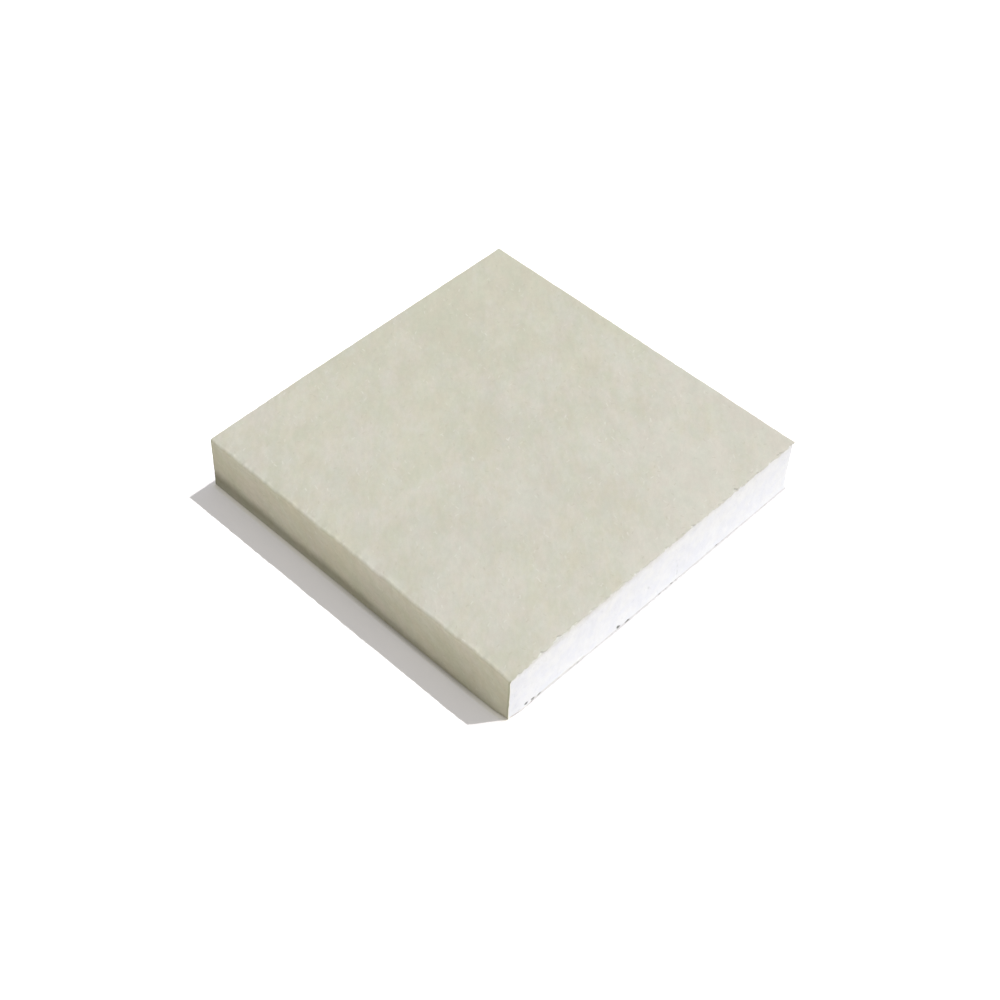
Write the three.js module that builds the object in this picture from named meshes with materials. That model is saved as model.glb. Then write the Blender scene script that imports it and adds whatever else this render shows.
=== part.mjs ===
// A square piece of 12.5 mm plasterboard (drywall), lying on its back.
// Millimetres, +Z up. X runs along the bound edge and Y goes from it across the board.
//
// The face paper covers the face, goes round the bound edge and is turned in over the back as a flap.
// The back paper closes the back and laps over the flap. It stops short of the bound edge, and there
// the flap steps down beside it, so that the whole back is flush.
// The gypsum is cast against both papers, so the core has a rebate as deep as the lapped flap.
// The other three sides are cut, and there the core lies bare between the two papers.
import * as THREE from "three";

// Sizes of the board.
const width = 75;
const depth = 75;
const thickness = 12.5;

// Sizes of the papers and of the bound edge.
const paperThickness = 0.35;
const faceArrisRadius = 0.65; // where the face turns down into the bound edge
const backArrisRadius = 0.6; // where the bound edge turns in under the back
const flapWidth = 19; // from the bound edge to the end of the flap
const backPaperSetback = 6; // from the bound edge to the back paper
const flapStepWidth = 1.2; // over which the flap steps down beside the back paper
const arrisSteps = 6; // flats that make one rounded arris

// Places across the board, in Y and Z.
const boundSide = -depth / 2;
const cutSide = depth / 2;
const flapEnd = boundSide + flapWidth;
const backPaperEdge = boundSide + backPaperSetback;
const quarterTurn = Math.PI / 2;

const colors = {
  facePaper: 0xd6d3c4,
  core: 0xf3f3f4,
  backPaper: 0xa39c8e,
};

const at = (y, z) => new THREE.Vector2(y, z);

// A quarter of a circle, from one angle to the next, clockwise.
function arris(y, z, radius, from) {
  return new THREE.EllipseCurve(y, z, radius, radius, from, from - quarterTurn, true).getPoints(arrisSteps);
}

// The line of the face paper's section: along the flap, round the bound edge and across the face.
// An inset of nothing gives its outer side, and an inset of its thickness gives its inner side.
function wrapLine(inset) {
  const backArrisY = boundSide + backArrisRadius;
  const faceArrisY = boundSide + faceArrisRadius;
  const faceArrisZ = thickness - faceArrisRadius;
  return [
    at(flapEnd, paperThickness + inset), // on the back paper
    at(backPaperEdge, paperThickness + inset),
    at(backPaperEdge - flapStepWidth, inset),
    ...arris(backArrisY, backArrisRadius, backArrisRadius - inset, -quarterTurn),
    ...arris(faceArrisY, faceArrisZ, faceArrisRadius - inset, 2 * quarterTurn),
    at(cutSide, thickness - inset),
  ];
}

// Extrudes a section in Y and Z along X, from one cut end to the other.
function alongBoundEdge(section) {
  const geometry = new THREE.ExtrudeGeometry(new THREE.Shape(section), { depth: width, bevelEnabled: false });
  geometry.translate(0, 0, -width / 2);
  const sectionToBoard = new THREE.Matrix4().makeBasis(
    new THREE.Vector3(0, 1, 0),
    new THREE.Vector3(0, 0, 1),
    new THREE.Vector3(1, 0, 0),
  );
  return geometry.applyMatrix4(sectionToBoard);
}

function facePaper() {
  const outer = wrapLine(0);
  const inner = wrapLine(paperThickness).reverse();
  const material = new THREE.MeshStandardMaterial({ color: colors.facePaper, roughness: 0.9, metalness: 0 });
  return new THREE.Mesh(alongBoundEdge([...outer, ...inner]), material);
}

function gypsumCore() {
  const back = [at(cutSide, paperThickness), at(flapEnd, paperThickness)];
  const inside = wrapLine(paperThickness);
  const material = new THREE.MeshStandardMaterial({ color: colors.core, roughness: 1, metalness: 0 });
  return new THREE.Mesh(alongBoundEdge([...back, ...inside]), material);
}

function backPaper() {
  const section = [
    at(backPaperEdge, 0),
    at(cutSide, 0),
    at(cutSide, paperThickness),
    at(backPaperEdge, paperThickness),
  ];
  const material = new THREE.MeshStandardMaterial({ color: colors.backPaper, roughness: 0.95, metalness: 0 });
  return new THREE.Mesh(alongBoundEdge(section), material);
}

const board = new THREE.Group();
const pieces = { gypsum_core: gypsumCore(), face_paper: facePaper(), back_paper: backPaper() };
for (const [name, piece] of Object.entries(pieces)) {
  piece.name = name;
  board.add(piece);
}

export default board;
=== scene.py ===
# A square piece of drywall on a pale floor: gypsum core, face paper and back paper.
# Blender 4.5, metres. X runs along the bound edge and Y goes from it across the board.
# Sizes in the dictionaries are in millimetres.
import math

import bmesh
import bpy
from mathutils import Matrix, Vector, noise


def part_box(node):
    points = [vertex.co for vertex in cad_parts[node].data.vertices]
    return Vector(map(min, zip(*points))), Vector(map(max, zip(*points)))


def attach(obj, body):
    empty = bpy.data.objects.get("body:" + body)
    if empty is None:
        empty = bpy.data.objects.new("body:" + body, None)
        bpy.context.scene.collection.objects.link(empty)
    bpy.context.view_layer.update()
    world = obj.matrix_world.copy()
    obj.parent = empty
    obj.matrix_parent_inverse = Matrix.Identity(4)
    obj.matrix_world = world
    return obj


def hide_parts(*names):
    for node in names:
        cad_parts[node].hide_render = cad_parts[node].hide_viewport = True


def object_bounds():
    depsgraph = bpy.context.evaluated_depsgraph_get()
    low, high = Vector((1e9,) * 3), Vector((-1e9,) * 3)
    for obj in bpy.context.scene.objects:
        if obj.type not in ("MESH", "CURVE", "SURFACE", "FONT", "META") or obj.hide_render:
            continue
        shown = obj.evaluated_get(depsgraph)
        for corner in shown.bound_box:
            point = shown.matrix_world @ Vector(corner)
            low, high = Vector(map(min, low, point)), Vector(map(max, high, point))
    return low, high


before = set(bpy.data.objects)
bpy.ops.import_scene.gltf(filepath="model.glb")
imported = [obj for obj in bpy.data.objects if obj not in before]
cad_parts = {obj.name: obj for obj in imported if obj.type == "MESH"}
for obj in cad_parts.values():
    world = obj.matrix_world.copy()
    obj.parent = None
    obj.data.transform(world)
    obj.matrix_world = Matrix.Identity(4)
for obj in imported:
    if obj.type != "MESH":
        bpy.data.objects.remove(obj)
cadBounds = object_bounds()
mm = 0.001
quarterTurn = math.pi / 2

# sizes of the board, read from the frame
boardLow, boardHigh = cadBounds
backLow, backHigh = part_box("back_paper")
halfWidth = boardHigh.x
boundSide = boardLow.y
cutSide = boardHigh.y
boardTop = boardHigh.z
paperThickness = backHigh.z - backLow.z
backPaperEdge = backLow.y
print("frame read, board in mm:", [round(v / mm, 2) for v in boardHigh - boardLow])


# small helpers

layerGap = 7.13  # how far apart the layers of noise lie
sharpAngle = math.radians(50)  # edges sharper than this stay crisp


def mix(a, b, share):
    return a + (b - a) * share


def clamp(value):
    return max(0.0, min(1.0, value))


def smooth(low, high, value):
    share = clamp((value - low) / (high - low))
    return share * share * (3 - 2 * share)


def fade(reach, away):
    # 1 at the place itself, down to 0 from the reach on, which is in millimetres
    return 1 - smooth(0, reach * mm, away)


def lumps(along, up, size, seed, octaves=3):
    # smooth noise, about -1 to 1, with lumps of that size
    return noise.fractal(Vector((along / size, up / size, seed * layerGap)), 1.0, 2.0, octaves)


def waves(table, along, up, side=0):
    # the table holds a seed, then the size and depth of each kind of wave
    seed, *kinds = table
    return sum(depth * lumps(along, up, size * mm, seed + side) for size, depth in kinds)


def evenSteps(low, high, pitch):
    count = max(1, round((high - low) / pitch))
    return [mix(low, high, i / count) for i in range(count + 1)]


def closerAtEnds(low, high, pitch, nearEnd):
    # even steps, with closer ones at the given distances from either end
    start = [low + step for step in nearEnd]
    finish = [high - step for step in reversed(nearEnd)]
    return start[:-1] + evenSteps(start[-1], finish[0], pitch) + finish[1:]


def screenColor(red, green, blue):
    # 0 to 255 as shown on a screen, to the linear values that shaders take
    def linear(value):
        value /= 255
        return value / 12.92 if value <= 0.04045 else ((value + 0.055) / 1.055) ** 2.4

    return (linear(red), linear(green), linear(blue), 1.0)


def addObject(name, data):
    thing = bpy.data.objects.new(name, data)
    bpy.context.scene.collection.objects.link(thing)
    return thing


def newPiece(name, corners, faces, material, node):
    mesh = bpy.data.meshes.new(name)
    mesh.from_pydata(corners, [], faces)
    shape = bmesh.new()
    shape.from_mesh(mesh)
    bmesh.ops.recalc_face_normals(shape, faces=shape.faces)
    shape.to_mesh(mesh)
    shape.free()
    for face in mesh.polygons:
        face.use_smooth = True
    mesh.set_sharp_from_angle(angle=sharpAngle)
    mesh.materials.append(material)
    piece = addObject(name, mesh)
    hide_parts(node)
    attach(piece, "root")
    print("made", name, len(mesh.polygons), "faces")
    return piece


def keepOnMesh(piece, name, values, kind="FLOAT", field="value"):
    # a value for each point, which the materials read
    piece.data.attributes.new(name, kind, "POINT").data.foreach_set(field, values)


# how the cut sides came out: knife and snap marks

rightEnd, leftEnd, farSide = 0, 1, 2


def endAt(x):
    return rightEnd if x > 0 else leftEnd


cut = {
    "paperLoss": 0.02,  # mean loss of the papers at a cut
    "paperWander": (3, (6.0, 0.05), (1.7, 0.06), (0.7, 0.05)),  # waves: seed, then size and depth of each
    "frayedLoss": 0.16,  # the same two for the face paper at the right end
    "frayedWander": (6, (6.0, 0.24), (2.2, 0.36), (0.8, 0.42)),
    "wholeCorner": 1.5,  # reach of a corner that keeps its paper
    "coreLoss": 0.12,
    "coreWander": (11, (5.0, 0.06), (1.4, 0.04), (0.5, 0.025)),
    "coreFoot": (0.3, 0.4, 1.4),  # part of that loss at the foot, and the heights between which it grows
    "bubbleCell": 2.1,  # one air bubble in each cell of this size
    "bubbleRadius": (0.05, 0.34),
    "bubbleDepth": 0.6,  # as part of a whole bubble's
    "cornerWear": 0.35,  # of the upright corners between two cut sides
    "cornerWander": ((50, (3.0, 0.6)), (60, (0.8, 0.3))),
    "cornerReach": 1.1,
    "crumbDepth": 0.15,
    "crumbRagged": (0.3, 0.35, 37),  # waves of each broken-out bit's outline: size, depth as part of it, seed
    "crumbWall": (0.55, 1.1),  # from where to where its side slopes up, as parts of its half size
    "crumbs": (  # place along the right end, height, half length, half height, and how deep it is and how dark its painted shade is
        (-34.8, 0.6, 0.35, 0.14, 0.3), (-32.95, 0.8, 0.54, 0.27, 1.0), (-31.4, 0.7, 0.58, 0.24, 0.6),
        (-29.9, 0.55, 0.58, 0.23, 0.68), (-25.0, 0.35, 0.42, 0.2, 0.3), (-22.0, 0.4, 0.5, 0.22, 0.42),
        (-21.1, 0.3, 0.35, 0.2, 0.3), (-20.2, 0.25, 0.38, 0.22, 0.4), (-15.6, 0.25, 0.4, 0.2, 0.25),
        (-9.65, 0.5, 0.5, 0.33, 0.7), (-7.3, 0.15, 0.6, 0.28, 0.85), (-3.0, 0.12, 0.4, 0.2, 0.3),
        (1.3, 0.1, 0.6, 0.24, 0.6), (3.1, 0.1, 0.35, 0.22, 0.5), (4.6, 0.1, 0.5, 0.26, 0.7),
        (5.8, 0.1, 0.3, 0.22, 0.5), (17.2, 0.25, 0.45, 0.22, 0.55), (19.0, 0.15, 0.45, 0.2, 0.35),
        (22.9, 0.2, 0.4, 0.18, 0.25), (31.3, 0.2, 0.4, 0.18, 0.25),
    ),
    "scores": (  # scratches down the right end: place, top, foot, half width, depth
        (5.1, 6.9, 3.9, 0.1, 0.12), (5.9, 4.6, 1.4, 0.12, 0.16), (8.5, 5.4, 3.6, 0.1, 0.1),
    ),
    "scoreBend": (0.12, 1.3),  # how far a scratch bends, and how often
    "scoreFades": (0.5, 0.6),  # length over which it fades at its foot and top
    "footLift": (0.08, 9.0, 5.0),  # lifted corner at the bound edge: by how much, its reach and its height
    "footWear": (0.33, 3.5, 12.0),  # the same for the wear that sets it back
    "faceDip": (0.38, 0.95),  # how much lower the face is at the bound edge, left and right
    "dipReach": 26.0,
    "dipCurve": 1.6,
    "dipHeights": (3.0, 12.0),  # from none of it to all of it
    "cornerDip": (0.25, 6.0, 3.0, 11.0),  # more of it at the right end: depth, reach along, reaches across
    "arrisWaves": (95, (6.0, 0.16), (1.7, 0.4), (0.7, 0.36)),  # knocks along the face arris
    "arrisKnocks": 0.5,  # how strong they are
    "arrisReach": (0.2, 1.8),
    "knockHeights": (10.0, 12.0),
}


def paperCut(side, along, toCorner, frayed=0.0):
    # how far a paper's cut edge lies in from the true side
    straight = cut["paperLoss"] + waves(cut["paperWander"], along, 0, side)
    ragged = cut["frayedLoss"] + waves(cut["frayedWander"], along, 0) if frayed else 0.0
    return max(0.0, mix(straight, ragged, frayed)) * mm * smooth(0, cut["wholeCorner"] * mm, toCorner)


def bubble(along, up, side):
    # depth of an air bubble that the cut went through
    cell = cut["bubbleCell"] * mm
    distances, centres = noise.voronoi(Vector((along / cell, up / cell, side * 5.3)))
    low, high = cut["bubbleRadius"]
    radius = mix(low, high, noise.cell(centres[0] * 9.7) ** 3) * mm  # few of them are large
    distance = distances[0] * cell
    return math.sqrt(radius * radius - distance * distance) if distance < radius else 0.0


def crumbled(side, along, up):
    # how much of a bit broke out at the foot, 0 to 1
    most = 0.0
    if side == rightEnd:
        size, depth, seed = cut["crumbRagged"]
        ragged = depth * lumps(along, up, size * mm, seed, 2)
        for place, height, halfLength, halfHeight, depth in cut["crumbs"]:
            wide = (along / mm - place) / halfLength
            high = (up / mm - height) / halfHeight
            share = 1 - smooth(*cut["crumbWall"], math.hypot(wide, high) + ragged)
            most = max(most, depth * share)
    return most


def scored(side, along, up):
    # depth of the scratches there
    depth = 0.0
    if side == rightEnd:
        bendDepth, often = cut["scoreBend"]
        footFade, topFade = cut["scoreFades"]
        for place, top, foot, width, deep in cut["scores"]:
            bend = bendDepth * math.sin(up / mm * often + place)
            across = 1 - smooth(0, width, abs(along / mm - place - bend))
            fade = smooth(foot - footFade, foot, up / mm)
            depth += deep * across * fade * (1 - smooth(top - topFade, top, up / mm))
    return depth * mm


def coreCut(side, along, up):
    # how far the core's cut face lies in from the true side
    loss = cut["coreLoss"] + waves(cut["coreWander"], along, up, side)
    part, low, high = cut["coreFoot"]
    loss *= mix(part, 1, smooth(low * mm, high * mm, up))
    depth = max(0.0, loss) * mm + cut["bubbleDepth"] * bubble(along, up, side)
    return depth + scored(side, along, up) + cut["crumbDepth"] * mm * crumbled(side, along, up)


def cornerCut(side, up, away):
    # wear of an upright corner between two cut sides, fading away from the corner
    share = 0.5
    for table in cut["cornerWander"]:
        share += waves(table, 0, up, side)
    return max(0.0, cut["cornerWear"] * share) * mm * fade(cut["cornerReach"], away)


def settled(x, y, z):
    # one corner of the foot has some wear and has lifted a little, and the face dips towards the bound edge
    inward = y - boundSide
    away = math.hypot(halfWidth - x, inward)
    lift, reach, height = cut["footLift"]
    lift *= fade(reach, away) * fade(height, z)
    wear, reach, height = cut["footWear"]
    wear *= mm * fade(reach, away) * clamp(1 - z / (height * mm))
    toRight = clamp(0.5 + 0.5 * x / halfWidth)
    dip = mix(*cut["faceDip"], toRight) * clamp(1 - inward / (cut["dipReach"] * mm)) ** cut["dipCurve"]
    extra, back, near, far = cut["cornerDip"]
    dip += extra * fade(back, halfWidth - x) * (1 - smooth(near * mm, far * mm, inward))
    knocks = cut["arrisKnocks"] * waves(cut["arrisWaves"], x, 0)
    near, far = cut["arrisReach"]
    knocks *= 1 - smooth(near * mm, far * mm, inward)
    low, high = cut["dipHeights"]
    raised = lift - dip * smooth(low * mm, high * mm, z)
    low, high = cut["knockHeights"]
    raised += knocks * smooth(low * mm, high * mm, z)
    return x - wear, y + wear, z + raised * mm


# what the materials are made with

grainAngle = math.radians(135)  # the paper's faint grain, from X
mattSpecular = 0.15  # of the papers and the gypsum


def addNode(kind, settings=None, sockets=None, tree=None):
    # goes to the tree that its inputs come from, or to the one given
    for value in (sockets or {}).values():
        if isinstance(value, bpy.types.NodeSocket):
            tree = value.id_data
    node = tree.nodes.new("ShaderNode" + kind)
    for name, value in (settings or {}).items():
        setattr(node, name, value)
    for name, value in (sockets or {}).items():
        if isinstance(value, bpy.types.NodeSocket):
            tree.links.new(value, node.inputs[name])
        else:
            node.inputs[name].default_value = value
    return node


def maths(operation, first, second=0.0, third=0.0):
    return addNode("Math", {"operation": operation}, {0: first, 1: second, 2: third}).outputs[0]


def multiplyAdd(value, factor, start):
    return maths("MULTIPLY_ADD", value, factor, start)


def times(first, *others):
    for other in others:
        first = maths("MULTIPLY", first, other)
    return first


def ramp(value, low, high, toLow=0.0, toHigh=1.0):
    # eases from toLow to toHigh while the value goes from low to high
    sockets = {"Value": value, "From Min": low, "From Max": high, "To Min": toLow, "To Max": toHigh}
    return addNode("MapRange", {"interpolation_type": "SMOOTHSTEP"}, sockets).outputs[0]


def contrast(value, half, toLow=0.0, toHigh=1.0):
    # noise spread to the whole range: the smaller the half, the harder its edges
    return ramp(value, 0.5 - half, 0.5 + half, toLow, toHigh)


def wander(value, amount, noiseValue):
    # the value moved by noise, at most by half the amount
    return multiplyAdd(noiseValue, amount, maths("SUBTRACT", value, amount / 2))


def blendColors(share, first, second, how="MIX"):
    settings = {"data_type": "RGBA", "blend_type": how}
    return addNode("Mix", settings, {0: share, 6: first, 7: second}).outputs[2]


def multiplyColor(color, share, tint):
    return blendColors(share, color, tint, "MULTIPLY")


def attribute(tree, name, output="Fac"):
    return addNode("Attribute", {"attribute_name": name}, tree=tree).outputs[output]


def splitPlace(place):
    return list(addNode("SeparateXYZ", None, {0: place}).outputs)


def scaled(vector, factor):
    return addNode("VectorMath", {"operation": "SCALE"}, {0: vector, "Scale": factor}).outputs[0]


def boardPlace(tree):
    return scaled(addNode("TexCoord", tree=tree).outputs["Object"], 1 / mm)


def paperPlace(tree):
    # the place on a paper laid flat, and how far in from a cut it is
    toCut = maths("DIVIDE", attribute(tree, "toCut"), mm)
    return scaled(attribute(tree, "sheet", "Vector"), 1 / mm), toCut


def alongGrain(place, stretch):
    # the place squeezed along the paper's grain, so that noise on it is longer that way
    settings = {"vector_type": "TEXTURE"}
    sockets = {"Vector": place, "Rotation": (0, 0, grainAngle), "Scale": (stretch, 1 / stretch, 1)}
    return addNode("Mapping", settings, sockets).outputs[0]


def speckle(place, scale, detail, rough, seed):
    # noise from 0 to 1 at so many lumps a millimetre
    settings = {"noise_dimensions": "4D"}
    sockets = {"Vector": place, "W": seed, "Scale": scale, "Detail": detail, "Roughness": rough}
    return addNode("TexNoise", settings, sockets).outputs["Fac"]


def fibres(place, cell, length, width, bend, share, seed, spread=1.0):
    # short bent strokes in a share of the cells: the less their spread, the nearer to the grain
    shift = (seed * 3.7, seed * 5.1, 0)
    shifted = addNode("VectorMath", {"operation": "ADD"}, {0: place, 1: shift}).outputs[0]
    cells = addNode("TexVoronoi", {"voronoi_dimensions": "2D"}, {"Vector": shifted, "Scale": 1 / cell})
    offset = addNode("VectorMath", {"operation": "SUBTRACT"}, {0: shifted, 1: cells.outputs["Position"]})
    turn, chance, curl = addNode("SeparateColor", None, {"Color": cells.outputs["Color"]}).outputs
    angle = multiplyAdd(turn, math.pi * spread, -math.pi * spread / 2 - grainAngle)
    sockets = {"Vector": offset.outputs[0], "Angle": angle}
    turned = addNode("VectorRotate", {"rotation_type": "Z_AXIS"}, sockets).outputs[0]
    lengthways, sideways = splitPlace(turned)[:2]
    bow = times(maths("SUBTRACT", curl, 0.5), bend)
    curve = multiplyAdd(times(lengthways, lengthways), bow, sideways)
    body = ramp(maths("ABSOLUTE", curve), width * 0.25, width * 0.6, 1, 0)
    ends = ramp(maths("ABSOLUTE", lengthways), length * 0.3, length * 0.5, 1, 0)
    return times(body, ends, maths("LESS_THAN", chance, share))


def fibreLayer(place, kinds, toCut):
    # several kinds of fibre over one another, kept off the paper's cut thickness
    layer = 0.0
    for kind in kinds:
        layer = maths("MAXIMUM", fibres(place, *kind), layer)
    return times(layer, maths("GREATER_THAN", toCut, sheet["bare"]))


def addFibres(color, place, look, toCut, paleShare):
    pale = fibreLayer(place, look["paleFibres"], toCut)
    dark = fibreLayer(place, look["darkFibres"], toCut)
    color = blendColors(times(pale, paleShare), color, look["paleFibre"])
    color = blendColors(times(dark, look["darkShare"]), color, look["darkFibre"])
    return color, pale


def startMaterial(name):
    material = bpy.data.materials.new(name)
    material.use_nodes = True
    tree = material.node_tree
    tree.nodes.clear()
    shader = addNode("BsdfPrincipled", tree=tree)
    shader.inputs["Specular IOR Level"].default_value = mattSpecular
    addNode("OutputMaterial", None, {"Surface": shader.outputs[0]})
    return material, tree, shader


def finishMaterial(tree, shader, look, color, relief):
    # painted shade in the broken-out crumbs goes over the colour, then it and the relief go to the shader
    color = blendColors(ramp(attribute(tree, "crumbShade"), 0.0, 0.95), color, look["crumbShade"])
    tree.links.new(color, shader.inputs["Base Color"])
    bump = addNode("Bump", None, {"Height": relief, "Distance": look["bump"] * mm, "Strength": 1.0})
    tree.links.new(bump.outputs[0], shader.inputs["Normal"])


# papers: a sheet with an outer grid, a rim as thick as the paper and a plain inner side

sheet = {
    "nearCut": (0, 0.07, 0.16, 0.3, 0.5, 0.8, 1.2),  # closer points towards a cut
    "rimDepths": (0.35, 0.7, 1.0),  # rings of points down the cut thickness, as parts of it
    "lossReach": 1.3,  # how far in from a cut the paper is drawn back with it
    "plies": (0.5, 0.05, 21),  # waves of the inner plies' cut: size, depth, seed
    "bare": 0.02,  # no fibres so close to a cut
    "dustIn": (0.25, 0.05),  # how far in from a cut gypsum dust lies
    "seamIn": (0.12, 0.02),  # and a grey line
}
nearCut = [step * mm for step in sheet["nearCut"]]


def buildSheet(name, look, rows, relief, cutLoss, material, node):
    # rows: for each row across the board, a function from x and the depth in the paper
    # to (y, z, outward y, outward z, run)
    columns = closerAtEnds(-halfWidth, halfWidth, look["pitchAlong"] * mm, nearCut)
    points, runs, toCuts, crumbs = [], [], [], []
    rowCount, columnCount = len(rows), len(columns)
    lossReach = sheet["lossReach"]
    plySize, plyDepth, seed = sheet["plies"]

    def addPoint(row, column, depth):
        x = columns[column]
        y, z, outY, outZ, run = rows[row](x, depth * paperThickness)
        toEnd, toFar = halfWidth - abs(x), cutSide - y
        endLoss, farLoss = cutLoss(x, y, run)
        fray = plyDepth * mm * depth * max(0, lumps(x + y + run, depth, plySize * mm, seed))
        newX = x - math.copysign((endLoss + fray) * fade(lossReach, toEnd), x)
        newY = y - (farLoss + fray) * fade(lossReach, toFar)
        push = relief(x, y, run) * (1 - depth)
        newY += outY * push
        newZ = z + outZ * push
        if node == "face_paper":
            newX, newY, newZ = settled(newX, newY, newZ)
        points.append((newX, newY, newZ))
        atRightEnd = toEnd < 0.05 * mm and x > 0
        crumbs.append(crumbled(rightEnd, newY, newZ) if atRightEnd else 0.0)
        runs.extend((x, run, -depth * paperThickness))
        toCuts.append(min(toEnd, toFar))
        return len(points) - 1

    grid = [[addPoint(row, column, 0) for column in range(columnCount)] for row in range(rowCount)]
    faces = []
    for line, after in zip(grid, grid[1:]):
        for i in range(columnCount - 1):
            faces.append((line[i], line[i + 1], after[i + 1], after[i]))

    lastRow, lastColumn = rowCount - 1, columnCount - 1
    loop = [(row, 0) for row in range(rowCount)]
    loop += [(lastRow, column) for column in range(1, columnCount)]
    loop += [(row, lastColumn) for row in range(lastRow - 1, -1, -1)]
    loop += [(0, column) for column in range(lastColumn - 1, 0, -1)]
    ring = [grid[row][column] for row, column in loop]
    for depth in sheet["rimDepths"]:
        after = [addPoint(row, column, depth) for row, column in loop]
        for i in range(len(loop)):
            faces.append((ring[i - 1], ring[i], after[i], after[i - 1]))
        ring = after

    inner = dict(zip(loop, ring))
    for row in range(1, lastRow - 1):
        faces.append((inner[row, 0], inner[row + 1, 0], inner[row + 1, lastColumn], inner[row, lastColumn]))
    for row, inside in ((0, 1), (lastRow, lastRow - 1)):
        edge = [inner[row, column] for column in range(columnCount)]
        faces.append(edge + [inner[inside, lastColumn], inner[inside, 0]])

    piece = newPiece(name, points, faces, material, node)
    keepOnMesh(piece, "sheet", runs, "FLOAT_VECTOR", "vector")
    keepOnMesh(piece, "toCut", toCuts)
    keepOnMesh(piece, "crumbShade", crumbs)
    return piece


# face paper: along the flap, up round the bound edge and across the face

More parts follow.
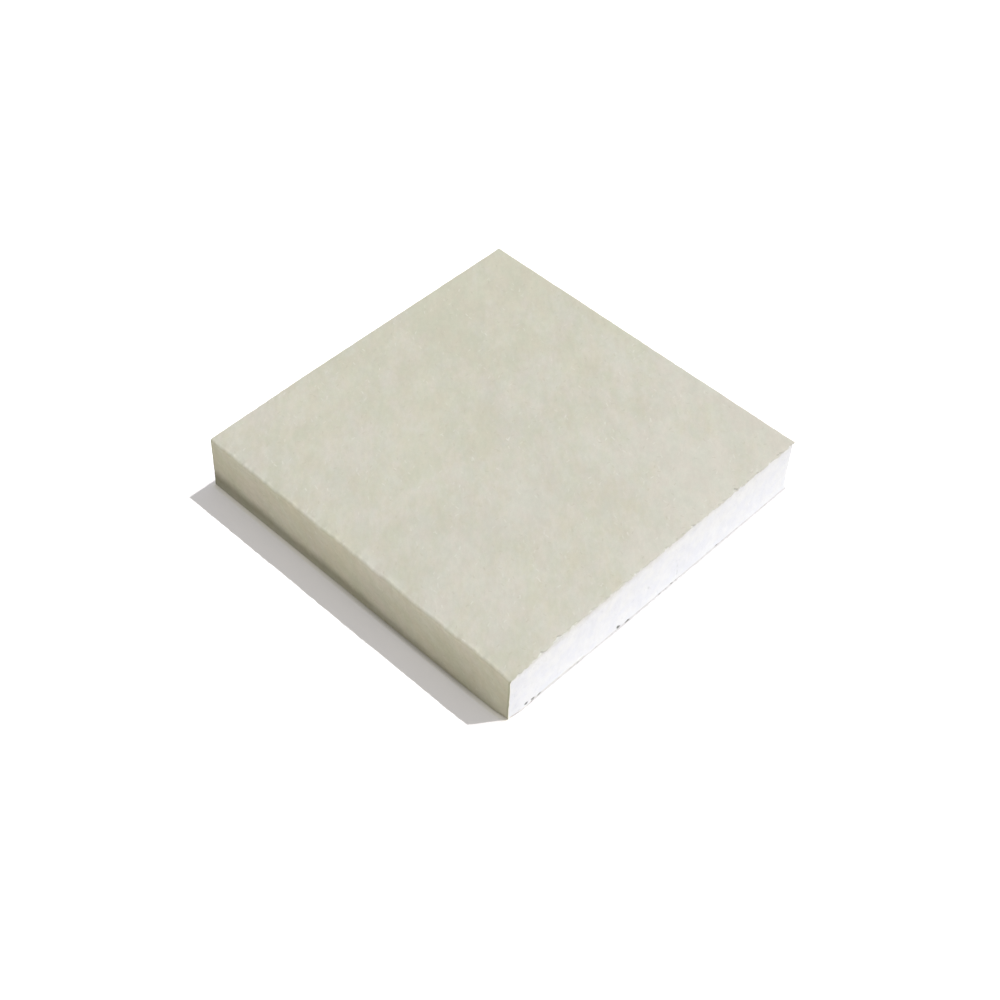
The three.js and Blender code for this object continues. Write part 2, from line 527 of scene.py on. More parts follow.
facePaper = {
    "flapWidth": 19.0,
    "flapStep": 1.2,  # where the flap steps down beside the back paper
    "backArris": 0.15,  # radius where the paper turns under
    "innerFold": 0.03,  # least radius of its inner side there
    "faceArris": 0.65,
    "pitch": 0.42,
    "pitchAlong": 0.3,
    "rows": {"lappedFlap": 40, "flapStep": 5, "flap": 18, "backArris": 5, "edge": 34, "faceArris": 7},
    "mean": -0.03,  # mean height of its waves, from the true size
    "broadWaves": (81, (20.0, 0.022)),  # as for the cuts
    "cockle": (82, (5.0, 0.010)),
    "felt": (83, (1.3, 0.004)),
    "edgeMean": -0.03,  # more of it on the bound edge
    "edgeWaves": (84, (11.0, 0.05)),
    "knifePress": (0.05, 0.22),  # depth at a cut, and reach
    "calmFoot": 0.8,  # part of the relief that goes at the turn of the foot
    "frayedFrom": 2.0,  # past the face arris, where the right end's cut is ragged

    # the face, where a tint multiplies the colour
    "yellow": screenColor(213.3, 211.3, 193.5),
    "grey": screenColor(218.3, 215.5, 203.9),
    "thin": (0.92, 0.92, 0.91, 1.0),
    "pale": (1.037, 1.037, 1.037, 1.0),  # painted light: lighter towards the far right corner
    "flecked": (0.97, 0.97, 0.972, 1.0),
    "warm": (1.0155, 0.995, 1.0, 1.0),
    "cool": (0.9845, 1.005, 1.0, 1.0),
    "paleFibre": screenColor(232, 231, 222),
    "darkFibre": screenColor(186, 180, 160),
    # painted shade in the broken-out crumbs at the foot
    "crumbShade": screenColor(112, 112, 108),
    "clouds": (0.06, 6, 0.88, 1),  # noises: lumps a millimetre, detail, roughness, seed
    "tones": (0.1, 5, 0.83, 4),
    "grain": (5.0, 3, 0.7, 3),
    "flecks": (0.9, 1, 0.6, 16),
    "hues": (0.25, 4, 0.7, 9),
    "fibrePatches": (0.3, 2, 0.6, 6),
    # kinds of fibre: size of a cell, length, width, bend, share of the cells, seed, spread
    "paleFibres": ((1.3, 0.9, 0.26, 0.5, 0.3, 1, 0.6), (4.2, 1.3, 0.3, 0.3, 0.25, 2, 0.4)),
    "darkFibres": ((2.4, 0.8, 0.26, 0.6, 0.3, 5),),
    "stretch": 1.3,  # of the noises along the grain
    "paintedLightSlant": (0.0021, 0.000064),  # painted light: how much greyer and lighter it is to the right, and more of that further back
    "paintedLightWay": (0.7, 0.3),  # parts of the way right and of the way back in getting paler
    "grainShare": 0.11,
    "paleShare": (0.4, 0.75, 0.0, 0.55),  # ramps: from, to, then the share at each if not 0 and 1
    "darkShare": 0.25,
    "roughness": (0.87, 0.95),
    "bump": 0.03,

    # the bound edge: tints, and the ramps that place them up it, along it or in from a cut
    "bound": (1.042, 1.027, 0.93, 1.0),
    "scuffed": (0.95, 0.947, 0.925, 1.0),
    "scuffs": (0.7, 4, 0.75, 17),
    # painted light: lighter towards the top of the bound edge
    "paintedUpperLight": (1.055, 1.055, 1.068, 1.0),
    "upperLightHeights": (6.5, 10.5),
    "arrisLight": (1.107, 1.107, 1.107, 1.0),  # painted light on the arris above it
    "arrisLightNoise": (0.5, 4, 0.75, 10),
    # painted shade: a dark band along the foot of the bound edge
    "paintedFootShade": (0.595, 0.592, 0.55, 1.0),
    "footShadeNoise": (0.5, 4, 0.7, 7),
    "footShadeUp": (2.88, -2.4),  # its height at the left and right ends
    "footShadeCurve": 2.4,
    "footShadeGap": -0.45,  # how much lower it is a third of the way along
    "gapAlong": ((-26, -17), (-6, -15)),  # where that starts and stops
    "footShadeEdge": (-0.9, 2.0, 1, 0),  # its fade, from its own height
    "footShadeAtFloor": (0.0, 2.2, 0.34, 1),  # less of it at the floor
    "contactShadeLine": (0.875, 0.86, 0.83, 1.0),  # painted shade: a thin dark contact line at the floor, towards the right
    "contactShadeLineUp": (1.1, 0.2),
    "contactShadeLineAlong": (-6, 10),
    "lowEndShade": (0.94, 0.94, 0.93, 1.0),  # painted shade, low down near both ends
    "lowEndShadeIn": (0.5, 2.5, 1, 0),
    "lowEndShadeUp": (8.0, 4.0),
    # painted shade: darker towards the left end
    "leftEndShade": (0.962, 0.961, 0.95, 1.0),
    "leftEndShadeAlong": (-20, -37),
    "cutLineShade": (0.74, 0.77, 0.71, 1.0),  # painted shade: a thin dark line along the cut ends
    "cutLineShadeIn": (0.15, 0.5, 1, 0),
    "cutLineShadeAlong": (0.9, -0.1),  # its strength at the middle, and how much more at the right end

    # the paper's cut thickness
    "torn": screenColor(206, 206, 194),
    "dust": screenColor(247, 245, 240),
    "dustNoise": (0.9, 4, 0.7, 8),
    "dustAtFace": (0.3, 0.8, 0, 0.35),
    "dustElsewhere": (0.02, 0.3),
    "seam": screenColor(205, 205, 203),  # a grey line on the flap's cut
    "seamShare": (0.36, 0.64, 0.05, 0.6),
}
flapEnd = boundSide + facePaper["flapWidth"] * mm
stepFoot = backPaperEdge - facePaper["flapStep"] * mm
backRadius, faceRadius = facePaper["backArris"] * mm, facePaper["faceArris"] * mm


def faceColor(place, toCut, starts, clouds, grain):
    # yellower and greyer tones, painted light that is lighter and greyer towards the far right corner, thin
    # places, flecks, faint hues and fibres
    look = facePaper
    along, run = splitPlace(place)[:2]
    grained = alongGrain(place, look["stretch"])
    back = maths("SUBTRACT", run, (starts["face"] + starts["end"]) / 2 / mm)
    slant, more = look["paintedLightSlant"]
    slant = multiplyAdd(back, more, slant)
    tones = multiplyAdd(along, slant, speckle(grained, *look["tones"]))
    color = blendColors(contrast(tones, 0.13), look["yellow"], look["grey"])
    color = multiplyColor(color, contrast(clouds, 0.14), look["thin"])
    alongPart, backPart = look["paintedLightWay"]
    toCorner = multiplyAdd(back, backPart, times(along, alongPart))
    color = multiplyColor(color, ramp(times(toCorner, mm / halfWidth), 0, 1), look["pale"])
    color = multiplyColor(color, contrast(speckle(grained, *look["flecks"]), 0.18), look["flecked"])
    hues = contrast(speckle(grained, *look["hues"]), 0.13)
    color = multiplyColor(color, 1.0, blendColors(hues, look["warm"], look["cool"]))
    color = blendColors(contrast(grain, 0.2, 0, look["grainShare"]), color, look["darkFibre"])
    paleShare = ramp(speckle(place, *look["fibrePatches"]), *look["paleShare"])
    return addFibres(color, place, look, toCut, paleShare)


def boundEdgeColor(color, place, height, toCut, foot, top):
    # yellower, with painted light towards the top and on the face arris, and painted shade along the foot,
    # low down near both ends, towards the left end and in a thin line at the cuts
    look = facePaper
    along, run = splitPlace(place)[:2]
    onEdge = ramp(run, top - 0.9, top - 0.1, 1, 0)
    pastFold = ramp(run, foot - 1.5, foot)
    scuffs = contrast(speckle(place, *look["scuffs"]), 0.17)
    arrisLight = wander(run, 1.2, speckle(place, *look["arrisLightNoise"]))
    arrisLight = times(ramp(arrisLight, top - 1.6, top - 0.8), ramp(run, top - 0.5, top + 0.4, 1, 0))

    left, right = look["footShadeUp"]
    toRight = multiplyAdd(along, 0.5 * mm / halfWidth, 0.5)
    reach = multiplyAdd(maths("POWER", toRight, look["footShadeCurve"]), right - left, left)
    start, stop = look["gapAlong"]
    gap = times(ramp(along, *start), ramp(along, *stop))
    reach = multiplyAdd(gap, look["footShadeGap"], reach)
    ragged = multiplyAdd(speckle(place, *look["footShadeNoise"]), 2.0, -1.0)
    above = maths("ADD", maths("SUBTRACT", height, reach), ragged)
    paintedFootShade = times(ramp(above, *look["footShadeEdge"]), pastFold, ramp(height, *look["footShadeAtFloor"]))

    contactShadeLine = times(ramp(height, *look["contactShadeLineUp"]), ramp(along, *look["contactShadeLineAlong"]))
    lowEndShade = times(ramp(toCut, *look["lowEndShadeIn"]), ramp(height, *look["lowEndShadeUp"]))
    middle, more = look["cutLineShadeAlong"]
    cutLineStrength = times(onEdge, multiplyAdd(along, more * mm / halfWidth, middle))
    shares = {
        "bound": onEdge,
        "scuffed": times(scuffs, onEdge),
        "paintedUpperLight": times(onEdge, ramp(height, *look["upperLightHeights"])),
        "arrisLight": arrisLight,
        "paintedFootShade": paintedFootShade,
        "contactShadeLine": times(contactShadeLine, pastFold),
        "lowEndShade": times(lowEndShade, onEdge),
        "leftEndShade": times(ramp(along, *look["leftEndShadeAlong"]), onEdge),
        "cutLineShade": times(ramp(toCut, *look["cutLineShadeIn"]), cutLineStrength),
    }
    for tint, share in shares.items():
        color = multiplyColor(color, share, look[tint])
    return color


def cutPaperColor(color, place, toCut, foot, top):
    # gypsum dust on the paper's cut thickness, less of it at the face, and a grey seam at the flap
    look = facePaper
    run, depth = splitPlace(place)[1:]
    onFace = ramp(run, top - 0.2, top + 0.3)
    onFlap = ramp(run, foot + 0.3, foot - 0.3)
    inFrom = maths("DIVIDE", depth, -paperThickness / mm)
    color = blendColors(times(ramp(inFrom, 0.0, 0.12), onFace), color, look["torn"])
    dustNoise = speckle(place, *look["dustNoise"])
    atFace = times(ramp(wander(inFrom, 1.3, dustNoise), *look["dustAtFace"]), onFace)
    elsewhere = times(ramp(inFrom, *look["dustElsewhere"]), maths("SUBTRACT", 1.0, onFace))
    onFlapRim = times(ramp(toCut, *sheet["dustIn"]), onFlap)
    dusted = maths("MAXIMUM", onFlapRim, maths("ADD", atFace, elsewhere))
    color = blendColors(dusted, color, look["dust"])
    seam = times(ramp(toCut, *sheet["seamIn"]), ramp(dustNoise, *look["seamShare"]), onFlap)
    return blendColors(seam, color, look["seam"])


def facePaperMaterial(starts):
    look = facePaper
    material, tree, shader = startMaterial("face paper")
    place, toCut = paperPlace(tree)
    clouds = speckle(alongGrain(place, look["stretch"]), *look["clouds"])
    grain = speckle(place, *look["grain"])
    color, pale = faceColor(place, toCut, starts, clouds, grain)
    foot, top = starts["backArris"] / mm, starts["face"] / mm
    color = boundEdgeColor(color, place, splitPlace(boardPlace(tree))[2], toCut, foot, top)
    color = cutPaperColor(color, place, toCut, foot, top)
    tree.links.new(contrast(clouds, 0.2, *look["roughness"]), shader.inputs["Roughness"])
    relief = maths("ADD", times(grain, 0.45), times(clouds, 0.8))
    relief = maths("ADD", relief, times(pale, 0.2))
    finishMaterial(tree, shader, look, color, relief)
    return material


def turnPlace(y, z, radius, angle):
    # a place on a rounded arris, from the angle of its outward direction
    outY, outZ = math.cos(angle), math.sin(angle)
    return y + outY * radius, z + outZ * radius, outY, outZ


def foldRadius(inward):
    # radius of the turned-under arris at a depth in the paper
    return max(backRadius - inward, facePaper["innerFold"] * mm)


def wrapRows():
    # rows along the section, each with its run: the distance along the paper from the flap's end
    lengths = {
        "lappedFlap": flapEnd - backPaperEdge,
        "flapStep": backPaperEdge - stepFoot,
        "flap": stepFoot - boundSide - backRadius,
        "backArris": backRadius * quarterTurn,
        "edge": boardTop - backRadius - faceRadius,
        "faceArris": faceRadius * quarterTurn,
        "face": cutSide - boundSide - faceRadius,
    }
    starts, run = {}, 0.0
    for name, length in lengths.items():
        starts[name] = run
        run += length
    starts["end"] = run

    def lappedFlap(share, inward):
        return mix(flapEnd, backPaperEdge, share), paperThickness + inward, 0, -1

    def flapStep(share, inward):
        height = mix(paperThickness, 0, smooth(0, 1, share))
        return mix(backPaperEdge, stepFoot, share), height + inward, 0, -1

    def flap(share, inward):
        return mix(stepFoot, boundSide + inward + foldRadius(inward), share), inward, 0, -1

    def backArris(share, inward):
        radius = foldRadius(inward)
        return turnPlace(boundSide + inward + radius, inward + radius, radius, -quarterTurn * (1 + share))

    def edge(share, inward):
        return boundSide + inward, mix(inward + foldRadius(inward), boardTop - faceRadius, share), -1, 0

    def faceArris(share, inward):
        middle = (boundSide + faceRadius, boardTop - faceRadius)
        return turnPlace(*middle, faceRadius - inward, quarterTurn * (2 - share))

    rows = []
    for place in (lappedFlap, flapStep, flap, backArris, edge, faceArris):
        count = facePaper["rows"][place.__name__]
        for i in range(count):
            share = i / count
            at = starts[place.__name__] + lengths[place.__name__] * share
            rows.append(lambda x, inward, place=place, share=share, at=at: (*place(share, inward), at))
    across = evenSteps(boundSide + faceRadius, cutSide - nearCut[-1], facePaper["pitch"] * mm)
    across += [cutSide - step for step in reversed(nearCut[:-1])]
    for y in across:
        at = starts["face"] + y - boundSide - faceRadius
        rows.append(lambda x, inward, y=y, at=at: (y, boardTop - inward, 0, 1, at))
    return rows, starts


def buildFacePaper():
    rows, starts = wrapRows()

    def relief(x, y, run):
        toCut = min(halfWidth - abs(x), starts["end"] - run)
        height = facePaper["mean"] + waves(facePaper["broadWaves"], x, run)
        height += waves(facePaper["cockle"], x, run) + waves(facePaper["felt"], x, run)
        onEdge = smooth(starts["backArris"] - 2 * mm, starts["edge"], run)
        onEdge *= 1 - smooth(starts["face"], starts["face"] + 1.5 * mm, run)
        height += onEdge * (waves(facePaper["edgeWaves"], x, run * 0.5) + facePaper["edgeMean"])
        depth, reach = facePaper["knifePress"]
        height -= depth * math.exp(-toCut / (reach * mm))
        atFoot = smooth(stepFoot - boundSide, 0, abs(run - starts["backArris"]))
        return min(height, 0) * mm * (1 - facePaper["calmFoot"] * atFoot)

    def cutLoss(x, y, run):
        toCorner = min(abs(run - starts["face"]), starts["end"] - run, abs(run - starts["edge"]))
        side = endAt(x)
        frayed = 0.0
        if side == rightEnd:
            frayed = smooth(starts["face"], starts["face"] + facePaper["frayedFrom"] * mm, run)
        return paperCut(side, run, toCorner, frayed), paperCut(farSide, x, halfWidth - abs(x))

    material = facePaperMaterial(starts)
    return buildSheet("facePaper", facePaper, rows, relief, cutLoss, material, "face_paper")


board = [buildFacePaper()]


# back paper: flat on the floor, cut with the board on three sides and trimmed at the mill on the fourth

backPaper = {
    "pitch": 0.3,
    "pitchAlong": 0.45,
    "trim": (14.0, 0.12, 90),  # waves of its trimmed side: size, depth, seed
    "trimReach": 3.0,
    "mean": -0.012,  # mean height of its waves
    "pastFlap": -0.02,  # and how much further in it lies past the flap's end
    "flapEase": (-0.5, 0.6),
    "broadWaves": (91, (16.0, 0.010)),
    "cockle": (92, (3.0, 0.005)),
    "color": screenColor(163, 156, 142),
    "light": screenColor(178, 171, 156),
    "dark": screenColor(146, 139, 126),
    "paleFibre": screenColor(204, 200, 188),
    "darkFibre": screenColor(96, 90, 82),
    "dust": screenColor(238, 238, 238),
    "seam": screenColor(221, 221, 220),  # a grey line on its cut
    # painted shade in the broken-out crumbs at the foot
    "crumbShade": screenColor(112, 112, 108),
    "clouds": (0.12, 3, 0.5, 11),  # noises and fibres as for the face paper
    "flocs": (0.8, 4, 0.65, 12),
    "grain": (6.0, 3, 0.7, 13),
    "paleFibres": ((1.6, 1.5, 0.1, 0.8, 0.6, 7), (2.3, 2.0, 0.14, 0.4, 0.5, 8)),
    "darkFibres": ((2.0, 1.1, 0.09, 0.9, 0.4, 9), (4.1, 0.5, 0.3, 0.2, 0.2, 10)),
    "flocEdge": (0.55, 0.3),
    "paleShare": 0.5,
    "darkShare": 0.6,
    "seamNoise": (0.8, 4, 0.7, 14),
    "seamShare": (0.4, 0.95),
    "seamNearEdge": (-11, -1, 0.15, 1),  # part of it left towards the bound edge, from the flap's end
    "seamNearFar": (36, 22, 0.6, 1),  # and towards the far side
    "roughness": 0.95,
    "bump": 0.04,
}


def backPaperMaterial():
    look = backPaper
    material, tree, shader = startMaterial("back paper")
    place, toCut = paperPlace(tree)
    flocs = speckle(place, *look["flocs"])
    grain = speckle(place, *look["grain"])
    clouds = contrast(speckle(place, *look["clouds"]), 0.15)
    color = blendColors(clouds, look["color"], look["light"])
    color = blendColors(ramp(flocs, *look["flocEdge"]), color, look["dark"])
    color, pale = addFibres(color, place, look, toCut, look["paleShare"])
    color = blendColors(ramp(toCut, *sheet["dustIn"]), color, look["dust"])
    across = splitPlace(boardPlace(tree))[1]
    seam = contrast(speckle(place, *look["seamNoise"]), 0.14, *look["seamShare"])
    start, stop, *ends = look["seamNearEdge"]
    nearEdge = ramp(across, flapEnd / mm + start, flapEnd / mm + stop, *ends)
    seam = times(seam, nearEdge, ramp(across, *look["seamNearFar"]))
    color = blendColors(times(ramp(toCut, *sheet["seamIn"]), seam), color, look["seam"])
    shader.inputs["Roughness"].default_value = look["roughness"]
    relief = maths("ADD", times(grain, 0.5), maths("ADD", pale, flocs))
    finishMaterial(tree, shader, look, color, relief)
    return material


def buildBackPaper():
    size, depth, seed = backPaper["trim"]

    def addRow(y):
        def place(x, inward):
            trim = depth * mm * lumps(x, 0, size * mm, seed, 4)
            trim *= fade(backPaper["trimReach"], y - backPaperEdge)
            return y + trim, inward, 0, -1, y

        return place

    def relief(x, y, run):
        low, high = backPaper["flapEase"]
        pastFlap = smooth(flapEnd + low * mm, flapEnd + high * mm, y)
        height = backPaper["mean"] + backPaper["pastFlap"] * pastFlap
        height += waves(backPaper["broadWaves"], x, y)
        height += waves(backPaper["cockle"], x, y)
        return min(height, 0) * mm

    def cutLoss(x, y, run):
        return paperCut(endAt(x), y, cutSide - y), paperCut(farSide, x, halfWidth - abs(x))

    rows = [addRow(y) for y in closerAtEnds(backPaperEdge, cutSide, backPaper["pitch"] * mm, nearCut)]
    material = backPaperMaterial()
    return buildSheet("backPaper", backPaper, rows, relief, cutLoss, material, "back_paper")


board.append(buildBackPaper())


# gypsum core: rough cut faces on three sides, plain where the papers cover it

core = {
    "pitch": 0.22,
    "rise": 0.2,
    "footRise": 0.1,  # closer rows at the foot, where the crumbs are
    "footHeight": 1.4,
    "backFromEnd": 1.0,  # how far in from the ends the hidden upper side starts
    "clearOfKnocks": (0.5, 3.0),  # how much lower it is along the bound edge, and how far in
    "nearBoundEdge": (0, 0.02, 0.06, 0.12, 0.2, 0.32, 0.48, 0.7, 1.0, 1.35, 1.8),
    "besideFlap": 0.02,  # rows on either side of the flap's end
    "color": screenColor(246.5, 247.7, 247.6),
    "grey": screenColor(241.1, 242.9, 246.4),
    # painted shade in the pores
    "poreShade": screenColor(226, 227, 231),
    "smear": screenColor(211, 208, 195),  # paper fluff drawn down over the gypsum
    "upperShade": (0.98, 0.975, 0.958, 1.0),  # painted shade: darker and a little yellower towards the top, which the floor lights less
    # painted shade in the broken-out crumbs at the foot
    "crumbShade": screenColor(104, 104, 100),
    "patches": (0.35, 3, 0.6, 1),
    "grain": (4.0, 3, 0.65, 2),
    "pores": 2.6,  # pores in a millimetre
    "poreRadius": (0.1, 0.32),  # of the least, in cells, and how much more the widest have
    "poreEdge": (0.5, 1.1, 1, 0),
    "poreShare": 0.35,
    "smearNoise": (0.5, 5, 0.75, 4),
    "smearHeights": (9.9, 12.5),
    "smearAcross": (37, -30, 0.15, 0.58),  # from the far side to the bound edge
    "smearAtEdge": (-27, -33, 0, 0.28),  # more of it close to the bound edge
    "smearTopNoise": (1.0, 4, 0.75, 5),
    "smearTop": (11.65, 12.1, 0, 0.95),  # and right under the face paper
    "upperShadeHeights": (3.5, 10.5),
    "roughness": (0.94, 1.0),
    "bump": 0.05,
}


def gypsumMaterial():
    look = core
    material, tree, shader = startMaterial("gypsum")
    place = boardPlace(tree)
    across, height = splitPlace(place)[1:]
    grain = speckle(place, *look["grain"])
    pores = addNode("TexVoronoi", None, {"Vector": place, "Scale": look["pores"]})
    chance = addNode("SeparateColor", None, {"Color": pores.outputs["Color"]}).outputs[0]
    least, more = look["poreRadius"]
    radius = multiplyAdd(maths("POWER", chance, 3.0), more, least)
    pit = ramp(maths("DIVIDE", pores.outputs["Distance"], radius), *look["poreEdge"])
    patches = contrast(speckle(place, *look["patches"]), 0.15)
    color = blendColors(patches, look["grey"], look["color"])
    color = blendColors(times(pit, look["poreShare"]), color, look["poreShade"])
    color = multiplyColor(color, ramp(height, *look["upperShadeHeights"]), look["upperShade"])
    drawn = wander(height, 4.0, speckle(place, *look["smearNoise"]))
    top = wander(height, 3.4, speckle(place, *look["smearTopNoise"]))
    strong = ramp(across, *look["smearAcross"])
    strong = maths("ADD", strong, ramp(across, *look["smearAtEdge"]))
    strong = maths("MAXIMUM", strong, ramp(top, *look["smearTop"]))
    smear = times(ramp(drawn, *look["smearHeights"]), strong)
    color = blendColors(smear, color, look["smear"])
    tree.links.new(contrast(grain, 0.2, *look["roughness"]), shader.inputs["Roughness"])
    finishMaterial(tree, shader, look, color, maths("SUBTRACT", grain, pit))
    return material


def coreSpan(y):
    # lowest and highest point of the core's section at y
    start = boundSide + paperThickness
    backInner, faceInner = foldRadius(paperThickness), faceRadius - paperThickness
    overlap = smooth(stepFoot, backPaperEdge, y) if y < flapEnd else 0
    low = paperThickness * (1 + overlap)
    high = boardTop - paperThickness
    if y < start + backInner:
        low += backInner - math.sqrt(max(0, backInner**2 - (start + backInner - y) ** 2))
    if y < start + faceInner:
        high -= faceInner - math.sqrt(max(0, faceInner**2 - (start + faceInner - y) ** 2))
    return low, high


def buildCore():
    pitch = core["pitch"] * mm
    start = boundSide + paperThickness
    beside = core["besideFlap"] * mm
    behindEdge = [start + step * mm for step in core["nearBoundEdge"]]
    across = behindEdge[:-1] + evenSteps(behindEdge[-1], stepFoot, pitch)[:-1]
    across += evenSteps(stepFoot, backPaperEdge, pitch)[:-1]
    across += evenSteps(backPaperEdge, flapEnd - beside, pitch) + evenSteps(flapEnd + beside, cutSide, pitch)
    along = evenSteps(-halfWidth, halfWidth, pitch)
    height = boardTop / mm - 2 * paperThickness / mm
    shares = evenSteps(0, core["footHeight"] / height, core["footRise"] / height)
    shares = shares[:-1] + evenSteps(shares[-1], 1, core["rise"] / height)
    points, crumbs, faces = [], [], []

    def addColumn(x, y, lossX, lossY, side):
        # one upright line of points on a cut face
        low, high = coreSpan(y)
        line = []
        for share in shares:
            z = mix(low, high, share)
            line.append(len(points))
            newX, newY = x - math.copysign(lossX(z), x), y - lossY(z)
            points.append(settled(newX, newY, z))
            crumbs.append(crumbled(side, y, z))
        return line

    def nothing(z):
        return 0.0

    ends = {}
    for side, x in ((rightEnd, halfWidth), (leftEnd, -halfWidth)):
        ends[side] = []
        for y in across:
            away = cutSide - y

            def lossX(z):
                return coreCut(side, y, z) + cornerCut(side, z, away)

            def lossY(z):
                return coreCut(farSide, x, z) + cornerCut(side, z, 0)

            ends[side].append(addColumn(x, y, lossX, lossY if away < pitch / 2 else nothing, side))
    far = [ends[leftEnd][-1]]
    for x in along[1:-1]:

        def lossY(z):
            return coreCut(farSide, x, z) + cornerCut(endAt(x), z, halfWidth - abs(x))

        far.append(addColumn(x, cutSide, nothing, lossY, farSide))
    far.append(ends[rightEnd][-1])

    levels = len(shares)
    for lines in (ends[rightEnd], ends[leftEnd], far):
        for line, after in zip(lines, lines[1:]):
            for i in range(levels - 1):
                faces.append((line[i], after[i], after[i + 1], line[i + 1]))

    right, left = ends[rightEnd], ends[leftEnd]
    underFace = []  # points under the face paper, clear of its knocks
    inside = halfWidth - core["backFromEnd"] * mm
    clearance, clearReach = core["clearOfKnocks"]
    for x in (inside, -inside):
        line = []
        for y in across[:-1]:
            clear = clearance * mm * fade(clearReach, y - start)
            line.append(len(points))
            points.append((x, y, settled(x, y, coreSpan(y)[1])[2] - clear))
            crumbs.append(0.0)
        underFace.append(line)
    underRight, underLeft = underFace

    for i in range(levels - 1):  # behind the bound edge
        face = [right[0][i], left[0][i], left[0][i + 1], right[0][i + 1]]
        if i == levels - 2:
            face[3:3] = [underLeft[0], underRight[0]]
        faces.append(face)
    for i in range(len(across) - 2):  # over the back paper and under the face paper
        faces.append((right[i][0], right[i + 1][0], left[i + 1][0], left[i][0]))
        lines = (right[i][-1], underRight[i], underLeft[i], left[i][-1])
        after = (right[i + 1][-1], underRight[i + 1], underLeft[i + 1], left[i + 1][-1])
        for j in range(3):
            faces.append((lines[j], after[j], after[j + 1], lines[j + 1]))
    faces.append([right[-2][0], left[-2][0]] + [line[0] for line in far])
    lastUpper = [right[-2][-1], underRight[-1], underLeft[-1], left[-2][-1]]
    faces.append(lastUpper + [line[-1] for line in far])
    piece = newPiece("gypsumCore", points, faces, gypsumMaterial(), "gypsum_core")
    keepOnMesh(piece, "crumbShade", crumbs)
    return piece


board.append(buildCore())


# floor, light and camera

studio = {
    "ambient": 0.42,
    "sun": 0.61,  # light that the sun adds to a sheet facing it, where 1 makes white
    "sunFrom": (0.208, 0.475, 1.0),
    "sunAngle": 1.2,
    "fill": 0.20,
    "fillFrom": (1.0, 0.25, 0.22),
    "fillAngle": 40,
    "floorSun": 0.68,  # each of two lamps for the floor alone: its shadow is what neither of them reaches
    "floorSunFrom": ((0.075, 0.485, 1.0), (0.405, 0.487, 1.0)),
    "floorSize": 3000.0,  # from the board out
    "floorColor": (0.93, 0.90, 0.91, 1.0),
    "floorBounce": (0.60, 0.58, 0.59, 1.0),  # what the floor gives back to the board
    "floorGlow": 0.143,
    "edgeBounce": (1.0, 0.968, 0.80, 1.0),  # tint of what the bound edge gives back to the floor at its foot
    # light that the floor loses close to the board's foot
    "contactReach": 1.2,
    "contactOpen": (1.0, 0.58),  # open sky at which that starts and is all there
    "contactByEdge": (-16, 12, 0.14, 0.46),  # by the bound edge, from left to right
    "contactAtLift": (36, 25, 0.2, 1),  # part of it left by the lifted corner
    "contactByEnd": (-34, -4, 0.40, 0.55),  # by the right end, from its near corner on
    "contactFarEnd": (38, 14, 0.94, 1),  # part of it left towards its far corner
    "contactNoise": (0.8, 3, 0.7, 18),
    "contactBroken": (0.35, 0.6, 0.86, 1),  # part of it left by the noise
}


def whiteForCamera(tree):
    rays = addNode("LightPath", tree=tree)
    seen = maths("MAXIMUM", rays.outputs["Is Camera Ray"], rays.outputs["Is Glossy Ray"])
    return maths("MAXIMUM", seen, rays.outputs["Is Transmission Ray"])


def contactShade(tree):
    # how much of the floor's light is left at the board's foot, and where that is beside the bound edge
    sockets = {"Distance": studio["contactReach"] * mm}
    sky = addNode("AmbientOcclusion", {"samples": 8}, sockets, tree).outputs["AO"]
    close = ramp(sky, *studio["contactOpen"])
    place = boardPlace(tree)
    along, across = splitPlace(place)[:2]
    atLift = ramp(along, *studio["contactAtLift"])
    atEdge = times(ramp(along, *studio["contactByEdge"]), atLift)
    farEnd = ramp(across, *studio["contactFarEnd"])
    broken = ramp(speckle(place, *studio["contactNoise"]), *studio["contactBroken"])
    atEnd = times(ramp(across, *studio["contactByEnd"]), farEnd, broken)
    pastEnd = maths("GREATER_THAN", along, halfWidth / mm - 0.3)
    strength = multiplyAdd(pastEnd, maths("SUBTRACT", atEnd, atEdge), atEdge)
    left = maths("SUBTRACT", 1.0, times(close, strength))
    return left, times(close, maths("SUBTRACT", 1.0, pastEnd))


def addFloor():
    mesh = bpy.data.meshes.new("floor")
    size = studio["floorSize"] * mm
    corners = [(-size, -size, 0), (size, -size, 0), (size, size, 0), (-size, size, 0)]
    mesh.from_pydata(corners, [], [(0, 1, 2, 3)])
    floor = addObject("floor", mesh)
    material, tree, shader = startMaterial("floor")
    seen = whiteForCamera(tree)
    shade, byEdge = contactShade(tree)
    tinted = multiplyColor(studio["floorColor"], byEdge, studio["edgeBounce"])
    color = blendColors(seen, studio["floorBounce"], scaled(tinted, shade))
    tree.links.new(color, shader.inputs["Base Color"])
    plain = {"Roughness": 1.0, "Specular IOR Level": 0.0, "Emission Color": (1, 1, 1, 1)}
    for socket, value in plain.items():
        shader.inputs[socket].default_value = value
    glow = times(seen, shade, studio["floorGlow"])
    tree.links.new(glow, shader.inputs["Emission Strength"])
    mesh.materials.append(material)
    return floor


def addWorld():
    world = bpy.data.worlds.new("studio")
    bpy.context.scene.world = world
    world.use_nodes = True
    tree = world.node_tree
    tree.nodes.clear()
    strength = multiplyAdd(whiteForCamera(tree), 1 - studio["ambient"], studio["ambient"])
    background = addNode("Background", None, {"Color": (1, 1, 1, 1), "Strength": strength})
    addNode("OutputWorld", None, {"Surface": background.outputs[0]})


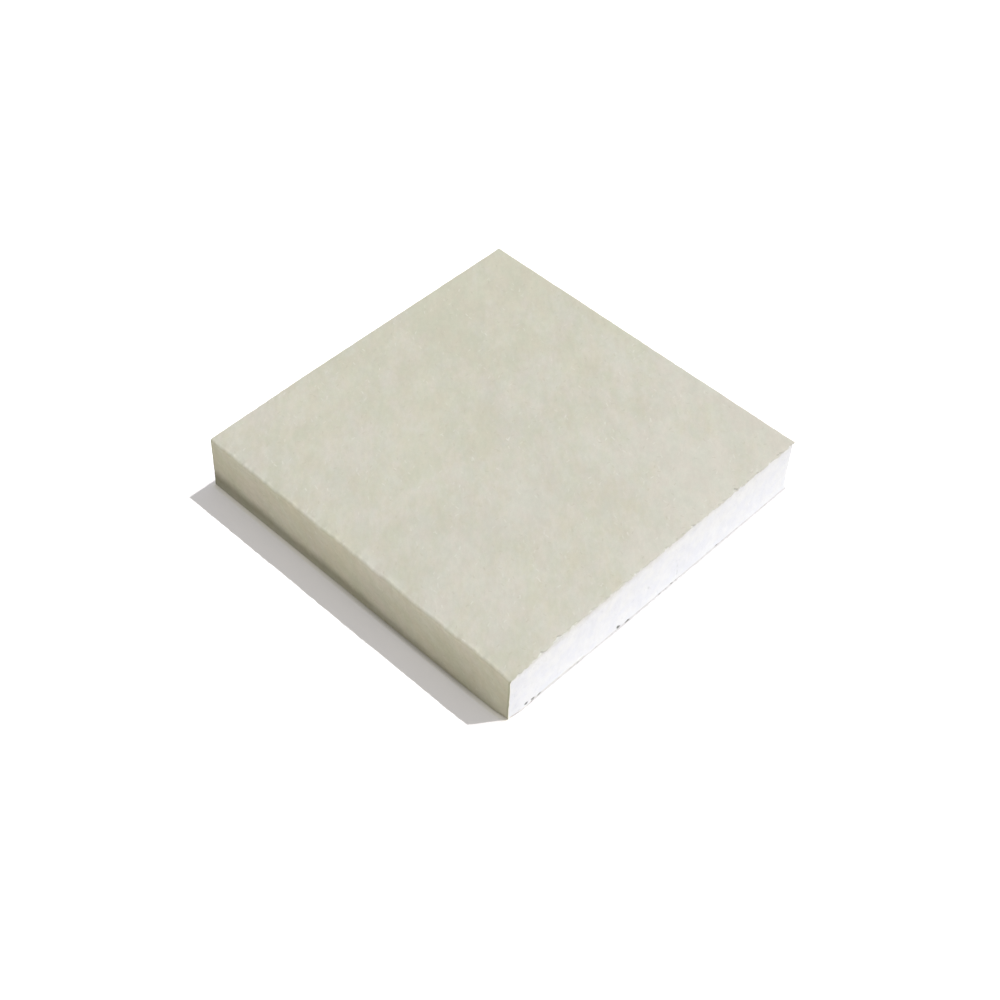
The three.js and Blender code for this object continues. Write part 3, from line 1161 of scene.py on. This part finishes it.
def lampGroup(name, members):
    group = bpy.data.collections.new(name)
    for member in members:
        group.objects.link(member)
    return group


def addSun(name, source, light, angle, castShadow, lights):
    sun = bpy.data.lights.new(name, "SUN")
    sun.energy = light * math.pi
    sun.angle = math.radians(angle)
    sun.use_shadow = castShadow
    holder = addObject(name, sun)
    holder.rotation_mode = "QUATERNION"
    holder.rotation_quaternion = Vector(source).to_track_quat("Z", "Y")
    holder.location = Vector(source).normalized()
    holder.light_linking.receiver_collection = lights


onBoard = lampGroup("lit board", board)
onFloor = lampGroup("lit floor", [addFloor()])
addWorld()
addSun("keySun", studio["sunFrom"], studio["sun"], studio["sunAngle"], True, onBoard)
addSun("fillSun", studio["fillFrom"], studio["fill"], studio["fillAngle"], False, onBoard)
for number, source in enumerate(studio["floorSunFrom"]):
    addSun(f"floorSun{number + 1}", source, studio["floorSun"], studio["sunAngle"], True, onFloor)
print("floor and light made")

camera = {
    "azimuth": 42.16,
    "elevation": 48.35,
    "roll": 2.46,
    "distance": 335.3 * mm,
    "target": (2.15 * mm, -2.74 * mm, 0.0),
    "lens": 65.3,
    "sensor": 36,
    "clip": (0.01, 20),  # metres
}


def addCamera():
    azimuth, elevation, roll = (math.radians(camera[key]) for key in ("azimuth", "elevation", "roll"))
    level = math.cos(elevation)
    back = Vector((math.sin(azimuth) * level, -math.cos(azimuth) * level, math.sin(elevation)))
    right = Vector((0, 0, 1)).cross(back).normalized()
    up = back.cross(right)
    rolledRight = right * math.cos(roll) + up * math.sin(roll)
    rolledUp = up * math.cos(roll) - right * math.sin(roll)
    turned = Matrix((rolledRight, rolledUp, back)).transposed().to_4x4()
    lens = bpy.data.cameras.new("camera")
    lens.lens = camera["lens"]
    lens.sensor_width = camera["sensor"]
    lens.clip_start, lens.clip_end = camera["clip"]
    holder = addObject("camera", lens)
    holder.matrix_world = Matrix.Translation(Vector(camera["target"]) + back * camera["distance"]) @ turned
    bpy.context.scene.camera = holder


addCamera()
bpy.context.scene.view_settings.view_transform = "Standard"
